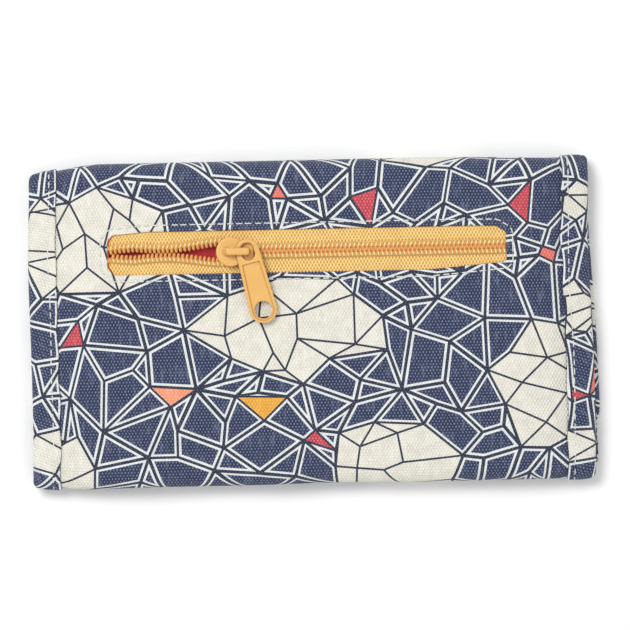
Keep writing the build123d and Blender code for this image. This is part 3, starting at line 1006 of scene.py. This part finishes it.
def strap_profile():
    """Across a binding that wraps a single thickness of cloth."""
    low = -LAYERS - BINDING
    return (outer_leg().line(0, low + SIDE_R).arc((SIDE_R, low + SIDE_R), 180, 90).line(WIDE - EDGE, low)
            .arc((WIDE - EDGE, low + EDGE), 270, 90).line(WIDE, -LAYERS))


def edge_lay(edge, profile, seam):
    """Lays (u across, w along) on a binding that follows edge, a route in the strip's (x, t).

    seam is how far in from the side its stitches sink.
    """
    def place(u, w):
        across = profile.at(u)[0]
        point, left = edge.at(w)
        inward = -left
        inner = point + inward * across[:, :1]
        crown = 0.3 * np.sin(np.clip(across[:, 0] / WIDE, 0, 1) * math.pi)
        sunk = np.exp(-((across[:, 0] - seam) / 0.6) ** 2)
        crown -= sunk * (0.26 - 0.07 * np.cos(2 * math.pi * w / STITCH_PITCH))
        crown *= np.sign(across[:, 1])
        edge_wave = 0.22 * waves(w, w * 0, 11, 11) * smooth(across[:, 0], WIDE - 3, WIDE)
        inner += inward * edge_wave[:, None]
        return lay(inner[:, 0], inner[:, 1], across[:, 1] + crown)
    return place


def strip_reach(*_):
    """The longest edge in a binding's mesh, the same all over."""
    return 0.8


def binding_points(profile, w0, w1, step):
    columns = sorted({float(u) for begin, long, kind, *_ in profile.runs
                      for u in spread(begin, begin + long, 0.25 if kind == "arc" and long < 1 else 1.3)})
    return [(u, float(w)) for u in columns for w in spread(w0, w1, step)]


def body_bindings():
    """The bias strips down both sides of the body, up to the middle of the fold."""
    leg, strap = leg_profile(), strap_profile()
    pieces = []
    for side, sign, seed in (("left", -1, 31), ("right", 1, 32)):
        edge = side_edge(sign)
        rng = random.Random(seed)
        back = back_t if sign < 0 else (lambda y: T_MID - back_t(y))
        if sign < 0:
            zones = [("cream", patch(rng, 5, float(back(30)), 11, 24, 8))]
        else:
            zones = [("cream", blob(rng, 5, float(back(3)), 9, 6))]
        zones.append(("cream", blob(rng, 5, float(back(-44)), 9, 6)))
        zones += [("cream", blob(rng, 6, float(w), 8, 7)) for w in (20, 60)]
        if sign > 0:
            w = float(back(-27))
            zones.append(("red", [(2, w - 2.2), (8, w + 0.6), (2, w + 2.4)]))
        cells = mosaic(seed, (0, 0), (strap.length, T_MID), BIAS_CELL, zones, BIAS_ACCENTS)
        body_range = (0, T_BAND) if sign < 0 else (T_MID - T_BAND, T_MID)
        band_range = (T_BAND, T_MID) if sign < 0 else (0, T_MID - T_BAND)
        parts = []
        for label, profile, (w0, w1) in (("body", leg, body_range), ("band", strap, band_range)):
            outline = [(0, w0), (profile.length, w0), (profile.length, w1), (0, w1)]
            parts.append(printed(f"{label}_{side}", cells, outline, [], binding_points(profile, w0, w1, 1.6),
                                 edge_lay(edge, profile, SEAMS[side]), BIAS_INKS, strip_reach))
        piece = joined_piece(f"binding_body_{side}", parts)
        rework(piece, weld)
        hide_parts(f"body_binding_{side}", f"fold_binding_{side}")
        pieces.append(piece)
    return pieces


def joined_piece(name, parts):
    """Several meshes as one piece."""
    mesh = bmesh.new()
    for part in parts:
        mesh.from_mesh(part.data)
    data = bpy.data.meshes.new(name)
    mesh.to_mesh(data)
    mesh.free()
    for m in parts[0].data.materials:
        data.materials.append(m)
    piece = bpy.data.objects.new(name, data)
    bpy.context.scene.collection.objects.link(piece)
    for part in parts:
        bpy.data.objects.remove(part)
    return piece


def flap_binding():
    strap = strap_profile()
    edge = flap_edge(BINDING)
    rng = random.Random(41)
    zones = [("cream", blob(rng, rng.uniform(4, 16), w, 8, 7)) for w in range(25, int(edge.length), 62)]
    cells = mosaic(42, (0, 0), (strap.length, edge.length), BIAS_CELL, zones,
                   BIAS_ACCENTS)
    outline = [(0, 0), (strap.length, 0), (strap.length, edge.length), (0, edge.length)]
    piece = printed("binding_flap", cells, outline, [], binding_points(strap, 0, edge.length, 1.6),
                    edge_lay(edge, strap, SEAMS["flap"]), BIAS_INKS, strip_reach)
    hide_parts("flap_binding")
    return piece


# ------------------------------------------------------------ linings and inner layers


def inner_layers():
    """Linings, fleece, card slots and the zip's pocket, each a closed thin sheet."""
    xs = spread(-PANEL_X + 0.6, PANEL_X - 0.6, 4.0)
    turn_z = (FLEECE_LOW[2] + FRONT_Z + CANVAS) / 2
    route = (Route((MOUTH_Y, FRONT_Z + CANVAS)).line(TURN_C[0], FRONT_Z + CANVAS)
             .arc((TURN_C[0], turn_z), 270, -180).line(FOLD_C[0] - 5.4, FLEECE_LOW[2])
             .line(FOLD_C[0] - 4.6, BACK_Z - LAYERS - 0.1))

    def lay_lining(x, s, depth):
        point, normal = route.at(s)
        return soften(np.column_stack([x, point - normal * depth]))

    marks = route.marks()
    along = np.concatenate([spread(0, marks[1], 4), spread(marks[1], marks[2], 0.8)[1:],
                            spread(marks[2], marks[3], 4)[1:], spread(marks[3], marks[4], 1)[1:]])
    lining = thin_sheet("body_lining_cloth", lay_lining, xs, along, LINING, LINING_CLOTH)
    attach(lining, "body")
    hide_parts("body_lining")

    inner = CANVAS + FLEECE
    ts = np.concatenate([spread(T_FOLD - 5, T_FOLD, 2), spread(T_FOLD, T_MID, 0.8)[1:]])
    facing = thin_sheet("fold_facing_cloth", lambda x, t, d: lay(x, t, -inner - d), xs, ts, LINING,
                        LINING_CLOTH)
    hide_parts("fold_facing", "fold_lining")

    ts = np.concatenate([spread(T_MID, T_FLAP, 0.8), spread(T_FLAP, T_END - 0.6, 3)[1:]])
    flap_lining = thin_sheet("flap_lining_cloth", lambda x, t, d: lay(tuck(x, t), t, -inner - d), xs, ts,
                             LINING, LINING_CLOTH)
    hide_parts("flap_lining")

    ts = spread(T_FLAP + 3, T_END - 1.2, 5)
    fleece = thin_sheet("flap_fleece", lambda x, t, d: lay(tuck(x, t), t, -CANVAS - 0.02 - d), xs * 0.99, ts,
                        FLEECE - 0.04, FLEECE_CLOTH)
    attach(fleece, "flap")
    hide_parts("flap_interlining")

    def level(z):
        return lambda x, y, d: soften(np.column_stack([x, y, np.full_like(x, z) - d]))

    stiff = thin_sheet("back_fleece", level(FLEECE_HIGH[2]), spread(FLEECE_LOW[0], FLEECE_HIGH[0], 4),
                       spread(FLEECE_LOW[1], FLEECE_HIGH[1], 4), FLEECE, FLEECE_CLOTH)
    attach(stiff, "body")
    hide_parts("back_interlining")

    bag = pocket_bag()
    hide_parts("zip_pocket_bag")

    for tier, name in enumerate(("upper", "lower")):
        for side in ("left", "right"):
            node = f"card_slot_{name}_{side}"
            low, high = mm_box(node)
            out = FRONT_Z - high[2]
            slot_t = spread(MOUTH_Y - high[1], MOUTH_Y - low[1], 5)
            piece = thin_sheet(f"{node}_cloth", lambda x, t, d, o=out: lay(x, t, o + 0.01 + d),
                               spread(low[0], high[0], 5), slot_t, LINING - 0.04, LINING_CLOTH)
            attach(piece, "body")
            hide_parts(node)
    return facing, flap_lining


def tuck(x, t):
    """Draws a layer's side in where the flap's corners are rounded."""
    r = FLAP_CORNER
    over = np.clip(t - (T_END - r), 0, r - 0.05)
    room = PANEL_X - r + np.sqrt(r * r - over * over)
    return x * room / PANEL_X


SLIT = ((-69.0, 0.0), (-66, 0.35), (-61, 0.72), (-56, 0.2), (-52, 0.06), (-47.5, 0.08), (-42, 0.75),
        (-36, 1.65), (-33, 2.0), (-30, 2.0), (-25, 0.7), (-21, 0.0))


def slit(x):
    """Half the gap of the open zip, left of the slider."""
    xs, gap = zip(*SLIT)
    return np.interp(x, xs, gap, left=0, right=0)


def pocket_bag():
    """The pocket's two sheets of lining, made one piece, with the window's opening."""
    low, high = BAG_LOW, BAG_HIGH
    skin = 0.3

    def back_sheet(x, y, d):
        edge = np.minimum(np.minimum(x - low[0], high[0] - x), np.minimum(y - low[1], high[1] - y))
        belly = 0.75 * np.exp(-((y - ZIP_Y) / 9) ** 2) * smooth(edge, 0, 8)
        return soften(np.column_stack([x, y, low[2] + belly + skin - d]))

    def front_sheet(x, y, d):
        return soften(np.column_stack([x, y, np.full_like(x, high[2]) - d]))

    def hole(x, y):
        return (x > WIN_LEFT - 0.6) & (x < WIN_RIGHT + 0.6) & (np.abs(y - ZIP_Y) < WIN_HIGH - ZIP_Y - 0.2)

    xs = np.unique(np.concatenate([spread(low[0], WIN_LEFT, 3), spread(WIN_LEFT, WIN_RIGHT, 3),
                                   spread(WIN_RIGHT, high[0], 3)]))
    ys = np.unique(np.concatenate([spread(low[1], WIN_LOW, 4), spread(WIN_LOW, WIN_HIGH, 1.5),
                                   spread(WIN_HIGH, high[1], 4)]))
    parts = [thin_sheet("pocket_back", back_sheet, xs, ys, skin, LINING_CLOTH),
             thin_sheet("pocket_front", front_sheet, xs, ys, skin, LINING_CLOTH, holes=hole)]
    piece = joined_piece("pocket_bag_cloth", parts)
    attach(piece, "body")
    return piece


# ------------------------------------------------------------ the zip


RIDGE = 1.1  # how high the tape's sewn edge stands over the coil's legs


def parting(x):
    """How far each zip edge is drawn from the middle."""
    return slit(x) + 0.5 * smooth(-x, 24, 31)


def dip(x):
    """How far the zip is pressed down at the window's two ends."""
    half = (WIN_END - WIN_LEFT) / 2
    away = np.abs(x - (WIN_LEFT + WIN_END) / 2) - half
    return 0.5 * smooth(away, -5, 0) + 0.8 * smooth(away, -0.4, 1.2)


def zip_tapes(material):
    """Two woven tapes that part to the left of the slider."""
    for side, sign in (("upper", 1), ("lower", -1)):
        node = f"zip_tape_{side}"
        low, high = mm_box(node)
        wide = high[1] - low[1]
        xs = np.unique(np.concatenate([spread(low[0], WIN_LEFT, 1), spread(WIN_LEFT, -20, 1.5),
                                       spread(-20, WIN_END - 5, 4), spread(WIN_END - 5, high[0], 1)]))
        vs = np.unique(np.concatenate([spread(0, 2.8, 0.13), spread(2.8, wide, 1.5)]))

        def place(x, v, d, sign=sign, high=high):
            gap = TAPE_LOW[1] - ZIP_Y + v
            y = ZIP_Y + sign * (gap + parting(x) * (1 - smooth(v, 3.0, 10.0)))
            ridge = RIDGE * smooth(gap, 0.45, 1.0) * smooth(gap, 2.62, 2.25)
            ridge = np.maximum(ridge - dip(x), np.minimum(ridge, 0))
            span = WIN_END - WIN_LEFT
            shown = smooth(np.abs(x - (WIN_LEFT + WIN_END) / 2) * 2, span + 1, span - 2)
            ridge += 0.1 * shown * np.exp(-((gap - 3.2) / 0.35) ** 2)
            ridge -= 0.16 * np.exp(-((gap - 2.72) / 0.14) ** 2)
            z = high[2] - d + ridge * (d == 0)
            return soften(np.column_stack([x, y, z]))

        piece = thin_sheet(f"{node}_cloth", place, xs, vs, high[2] - low[2], material)
        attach(piece, "body")
        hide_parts(node)


PITCH = 1.5
WIRE = 0.48  # half the coil's thread


def tube(points, radius, sides=6):
    """A tube's points and faces round a chain of points, with rounded ends."""
    points = np.asarray(points, float)
    ahead = np.gradient(points, axis=0)
    ahead /= np.linalg.norm(ahead, axis=1)[:, None]
    up = np.array((0.31, 0.17, 0.93))
    side = np.cross(ahead, up)
    side /= np.linalg.norm(side, axis=1)[:, None]
    over = np.cross(side, ahead)
    size = np.full(len(points), radius)
    size[0] = size[-1] = radius * 0.55
    angles = np.arange(sides) * 2 * math.pi / sides
    ring = np.cos(angles)[None, :, None] * side[:, None] + np.sin(angles)[None, :, None] * over[:, None]
    verts = (points[:, None] + ring * size[:, None, None]).reshape(-1, 3)
    faces = grid_faces(len(points), sides, close_columns=True)
    faces.append(tuple(range(sides))[::-1])
    last = (len(points) - 1) * sides
    faces.append(tuple(range(last, last + sides)))
    return verts, faces


def tubes(name, chains, radius, material, sides=6):
    """Many tubes as one piece."""
    verts, faces, count = [], [], 0
    for chain in chains:
        v, f = tube(chain, radius, sides)
        verts.append(v)
        faces += [tuple(i + count for i in face) for face in f]
        count += len(v)
    flat = np.vstack(verts)
    piece = new_piece(name, flat, faces, [material], uv=flat[:, :2])
    rework(piece, face_outwards)
    return piece


def coil_turn(x, sign, part):
    """One turn of coil: an upper leg, the head that hooks past the middle and a lower leg."""
    head, heel = -0.34, 1.5
    z = COIL_LOW[2] + WIRE
    top = COIL_HIGH[2] - WIRE - 0.2
    lean = 0.16
    shape = [(0.0, heel, top - 0.12), (0.0, heel - 0.5, top), (lean, 0.85, top), (lean * 1.5, 0.3, top),
             (lean * 1.9, head + 0.28, top - 0.03), (lean * 2.2, head + 0.06, top - 0.3),
             (lean * 2.6, head, (z + top) / 2), (lean * 3.0, head + 0.1, z + 0.2), (lean * 3.2, 0.4, z),
             (lean * 4, 1.1, z), (0.75, heel + 0.05, z + 0.1), (PITCH - 0.25, heel + 0.15, (z + top) / 2)]
    low = float(dip(x + 0.5))
    return [(x + dx, ZIP_Y + sign * (dy + part), dz - low) for dx, dy, dz in shape]


def zip_coils(material):
    """The two wound rows, hooked together right of the slider, and the yarn that sews them down."""
    start, end = COIL_LOW[0] + 0.5, WIN_END - 0.2
    count = int((end - start) / PITCH)
    rng = random.Random(7)
    for side, sign in (("upper", 1), ("lower", -1)):
        chains, yarns = [], []
        for i in range(count):
            x = start + i * PITCH + (PITCH / 2 if sign < 0 else 0)
            part = float(parting(x))
            chains.append(coil_turn(x, sign, part))
            y, lean = 1.55 + part, rng.uniform(0.1, 0.3)
            z = TAPE_HIGH[2] + RIDGE - float(dip(x)) + 0.08
            yarns.append([(x + dx * lean + 0.4, ZIP_Y + sign * (y + dy), z + dz)
                          for dx, dy, dz in ((-1, -0.64, -0.3), (-0.8, -0.46, 0),
                                             (0, 0, 0.08), (0.8, 0.46, 0),
                                             (1, 0.64, -0.3))])
        coil = tubes(f"zip_coil_{side}_wound", chains, WIRE, material, 8)
        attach(coil, "body")
        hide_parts(f"zip_coil_{side}")
        yarn = tubes(f"zip_yarn_{side}", yarns, 0.31, YARN)
        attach(yarn, "body")


def window_lip():
    """The turned edge of the facing inside the window."""
    inner, outer = (np.array(ring_outline(grow, 1.2)) for grow in (-0.6, 0.3))
    left = smooth(-inner[:, 0], -WIN_LEFT - 3.0, -WIN_LEFT - 0.8)[:, None]
    inner = outer + (inner - outer) * (0.35 + 0.65 * left)
    rings = [np.column_stack([flat, np.full(len(flat), LIP_LOW[2] + z)])
             for flat, z in ((outer, 0.3), (inner, 0.34), (inner, 0.06), (outer, 0.06))]
    count = len(inner)
    verts = soften(np.vstack(rings))
    faces = grid_faces(len(rings), count, close_rows=True, close_columns=True)
    piece = new_piece("window_facing_cloth", verts, faces, [RUST_EDGE], uv=verts[:, :2])
    rework(piece, weld)
    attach(piece, "body")
    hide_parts("window_facing")


# ------------------------------------------------------------ stitching

THREAD_R = 0.23
STITCH = 2.35
ALONG = np.array((-1.0, -0.82, -0.3, 0.3, 0.82, 1.0))  # a stitch's points, in half lengths


def window_stitches():
    rng = random.Random(17)
    loop = np.array(ring_outline(STITCH_OUT, 0.4))
    steps = np.hypot(*(np.roll(loop, -1, axis=0) - loop).T)
    length = np.concatenate([[0], np.cumsum(steps)])
    closed = np.vstack([loop, loop[:1]])
    chains = []
    for k in range(int(length[-1] / STITCH_PITCH)):
        middle = (k + 0.5) * STITCH_PITCH + rng.uniform(-0.15, 0.15)
        half = STITCH / 2 * rng.uniform(0.88, 1.06)
        s = middle + ALONG * half
        x, y = (np.interp(s % length[-1], length, closed[:, i]) for i in (0, 1))
        rise = np.array((-0.35, 0.0, 0.12, 0.12, 0.0, -0.35))
        chains.append(lay(x, back_t(y), rise + 0.02))
    piece = tubes("window_stitches", chains, THREAD_R, THREAD)
    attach(piece, "body")
    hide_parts("window_topstitch")


def edge_stitches(name, edge, across, w0, w1, seed):
    """Stitches along a binding, at a distance in from its side, on its outer leg."""
    rng = random.Random(seed)
    profile = strap_profile()
    place = edge_lay(edge, profile, across)
    chains = []
    flat_u = profile.marks()[2] + (WIDE - EDGE - across)
    for k in range(int((w1 - w0) / STITCH_PITCH)):
        middle = w0 + (k + 0.5) * STITCH_PITCH + rng.uniform(-0.15, 0.15)
        half = STITCH / 2 * rng.uniform(0.85, 1.08)
        w = middle + ALONG * half
        u = flat_u + 0.18 * waves(w, w * 0, 40, seed) + rng.uniform(-0.05, 0.05)
        rise = np.array((-0.35, 0.0, 0.1, 0.1, 0.0, -0.35))
        points = place(u, w)
        above = points - lay_depth(edge, u, w, profile)
        chains.append(points + above * rise[:, None])
    return tubes(name, chains, THREAD_R, THREAD)


def lay_depth(edge, u, w, profile):
    """The points one millimetre under those on a binding's outer leg."""
    across = profile.at(u)[0]
    point, left = edge.at(w)
    inner = point - left * across[:, :1]
    return lay(inner[:, 0], inner[:, 1], across[:, 1] - 1.0)


def stitch_lines():
    pieces = []
    for side, sign in (("left", -1), ("right", 1)):
        edge = side_edge(sign)
        piece = edge_stitches(f"binding_thread_{side}", edge, SEAMS[side], 1.0, T_MID - 1.0, 51 + sign)
        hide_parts(f"binding_stitches_{side}")
        pieces.append(piece)
    edge = flap_edge(BINDING)
    flap = edge_stitches("flap_binding_thread", edge, SEAMS["flap"], 1.0, edge.length - 1.0, 55)
    return pieces, flap


# ------------------------------------------------------------ the shot


FLOOR_HALF = 3.0  # metres
FLOOR_DROP = 0.0002  # metres
LAMPS = (("key", (-0.5, 0.52, 1.25), 0.62, 12.8), ("fill", (0.7, -0.7, 1.1), 1.4, 4.5))  # place, size, watts
SKY = 0.6
CAMERA_AWAY, CAMERA_FIELD = 1.5, 0.2195  # metres from the floor, and what it sees there
CAMERA_PLACE, CAMERA_ROLL = (0.0014, 0.0024), -1.2
SENSOR = 36


def stage_and_lights():
    floor_mesh = bpy.data.meshes.new("floor")
    size = FLOOR_HALF
    floor_mesh.from_pydata([(-size, -size, 0), (size, -size, 0), (size, size, 0), (-size, size, 0)], [],
                           [(0, 1, 2, 3)])
    floor = bpy.data.objects.new("floor", floor_mesh)
    floor.location.z = -FLOOR_DROP
    n = Nodes("floor_paper")
    tint = n.mix(n.noise(n.object_place(), 3.0, 2.0), (0.9, 0.9, 0.9, 1), (0.92, 0.92, 0.92, 1))
    n.link(tint, n.shader.inputs["Base Color"])
    n.shader.inputs["Roughness"].default_value = 0.9
    floor_mesh.materials.append(n.material)
    bpy.context.scene.collection.objects.link(floor)

    for name, place, size, power in LAMPS:
        data = bpy.data.lights.new(name, "AREA")
        data.size = size
        data.energy = power
        made = bpy.data.objects.new(name, data)
        made.location = place
        made.rotation_euler = (-Vector(place)).to_track_quat("-Z", "Y").to_euler()
        bpy.context.scene.collection.objects.link(made)
    world = bpy.data.worlds.new("studio")
    world.use_nodes = True
    sky = world.node_tree.nodes["Background"]
    sky.inputs["Color"].default_value = (1, 1, 1, 1)
    sky.inputs["Strength"].default_value = SKY
    bpy.context.scene.world = world
    bpy.context.scene.view_settings.view_transform = "Standard"


def camera():
    data = bpy.data.cameras.new("camera")
    data.sensor_width = SENSOR
    data.lens = SENSOR * CAMERA_AWAY / CAMERA_FIELD
    made = bpy.data.objects.new("camera", data)
    made.location = (*CAMERA_PLACE, CAMERA_AWAY)
    made.rotation_euler = (0, 0, math.radians(CAMERA_ROLL))
    bpy.context.scene.collection.objects.link(made)
    bpy.context.scene.camera = made


def dress_metal():
    enamel, brass = metal_paint(), snap_material()
    finishes = {"slider": enamel, "puller": enamel, "snap_cap": brass, "snap_socket": brass,
                "snap_stud": brass, "snap_post": brass}
    for node, material in finishes.items():
        for place in bpy.data.objects[node].material_slots:
            place.material = material


def main():
    zones = print_zones()
    cells = mosaic(5, (-PANEL_X, 0), (PANEL_X, T_END), CELL, zones, ACCENTS,
                   [(x, float(back_t(y)), reach) for x, y, reach in BUSY])
    body, flap = canvases(cells)
    bindings = body_bindings()
    flap_edge_cloth = flap_binding()
    facing, flap_lining = inner_layers()
    zip_tapes(tape_material())
    zip_coils(coil_material())
    window_lip()
    window_stitches()
    threads, flap_thread = stitch_lines()
    dress_metal()

    inner, outer = ((0, (FOLD_HIGH[1] - away) * MM, 0) for away in (8.2, 4.7))
    for piece in [body, facing] + bindings + threads:
        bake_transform(piece)
        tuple(inner)
        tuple(outer)
    for piece in (flap, flap_lining, flap_edge_cloth, flap_thread):
        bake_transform(piece)
        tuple(outer)
        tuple(inner)

    stage_and_lights()
    camera()


main()
